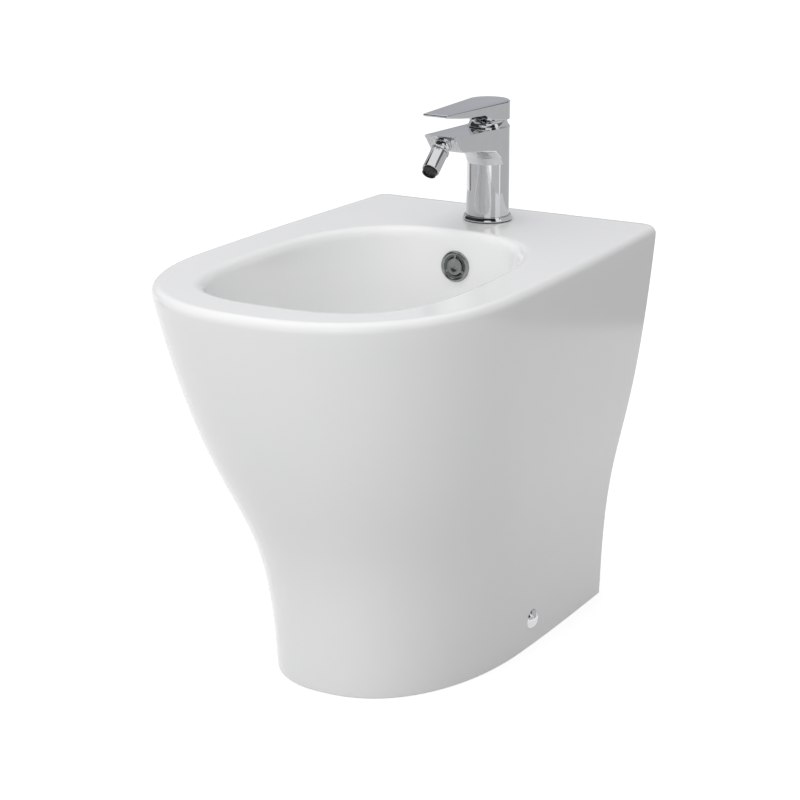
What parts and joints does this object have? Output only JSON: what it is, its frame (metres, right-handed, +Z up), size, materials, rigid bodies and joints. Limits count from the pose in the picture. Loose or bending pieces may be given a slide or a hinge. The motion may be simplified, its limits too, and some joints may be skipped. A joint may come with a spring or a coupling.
{
  "type": "floor standing bidet",
  "caption": "Floor standing, back to wall bidet: flared ceramic body with an open bowl, a single lever mixer with a swivel aerator, a push waste, a bottle trap and side floor fixings.",
  "frame": {"origin": "centre of the bounding box on the floor", "axes": "+Z up, the front of the bowl faces -Y, the wall side faces +Y, the left inlet of the tap as seen from the front is at -X"},
  "size_m": [0.352, 0.5289, 0.5312],
  "materials": {
    "china": "white glazed vitreous china, opaque",
    "chrome": "polished chrome plating",
    "brass": "turned brass",
    "steel": "plain stainless steel",
    "rubber": "soft black rubber",
    "white_plastic": "white moulded plastic",
    "grey_plastic": "grey moulded plastic",
    "black_plastic": "black moulded plastic",
    "alumina": "lapped ceramic disc, opaque"
  },
  "bodies": {
    "body": {"ceramic_deck": "china", "ceramic_bowl": "china", "ceramic_skirt": "china", "overflow_cover": "chrome", "overflow_sleeve": "grey_plastic", "base_ring": "chrome", "base_seal": "rubber", "mixer_body": "chrome", "cartridge_dome": "chrome", "cartridge_nut": "brass", "cartridge_housing": "white_plastic", "cartridge_base": "grey_plastic", "cartridge_seals": "rubber", "fixed_disc": "alumina", "ball_retainer": "chrome", "fixing_stud": "steel", "horseshoe_gasket": "rubber", "horseshoe_washer": "steel", "stud_nut": "brass", "waste_seal": "rubber", "waste_body": "chrome", "waste_cone_seal": "rubber", "waste_washer": "white_plastic", "waste_backnut": "brass", "plug_latch": "grey_plastic", "trap_inlet_nut": "white_plastic", "trap_inlet_seal": "rubber", "trap_inlet_tube": "white_plastic", "trap_tube_nut": "white_plastic", "trap_tube_seal": "rubber", "trap_head": "white_plastic", "trap_cup": "white_plastic", "trap_cup_seal": "rubber", "outlet_nut": "white_plastic", "outlet_seal": "rubber", "outlet_pipe": "white_plastic", "side_screws": "steel", "screw_sleeves": "white_plastic", "screw_caps": "chrome", "floor_brackets": "white_plastic"},
    "rotor": {"stem_rotor": "black_plastic", "pivot_pin": "steel"},
    "lever": {"lever_handle": "chrome", "lever_stem": "brass", "lever_screw": "steel", "screw_plug": "grey_plastic"},
    "disc": {"moving_disc": "alumina", "disc_carrier": "white_plastic"},
    "seat": {"ball_seat": "white_plastic"},
    "aerator": {"swivel_ball": "chrome", "swivel_collar": "chrome", "aerator_housing": "chrome", "aerator_washer": "rubber", "aerator_insert": "black_plastic"},
    "plug": {"waste_plug": "chrome", "plug_stem": "steel", "plug_seal": "rubber"}
  },
  "joints": [
    {"name": "lever_turn", "type": "hinge", "parent": "body", "child": "rotor", "pos_m": [0, 0.2045, 0.498], "axis": [0, 0, 1], "range_deg": [-50, 50]},
    {"name": "lever_lift", "type": "hinge", "parent": "rotor", "child": "lever", "pos_m": [0, 0.2045, 0.498], "axis": [-1, 0, 0], "range_deg": [0, 20]},
    {"name": "disc_slide", "type": "slide", "parent": "rotor", "child": "disc", "axis": [0, -1, 0], "range_m": [0, 0.0045]},
    {"name": "aerator_swing", "type": "hinge", "parent": "body", "child": "seat", "pos_m": [0, 0.10798, 0.49898], "axis": [0, -0.766, -0.6428], "range_deg": [-90, 90]},
    {"name": "aerator_tilt", "type": "hinge", "parent": "seat", "child": "aerator", "pos_m": [0, 0.10798, 0.49898], "axis": [1, 0, 0], "range_deg": [-18, 18]},
    {"name": "plug_lift", "type": "slide", "parent": "body", "child": "plug", "axis": [0, 0, 1], "range_m": [0, 0.008]}
  ],
  "couplings": [
    {"joint": "disc_slide", "follows": "lever_lift", "m_per_rad": 0.01176}
  ]
}
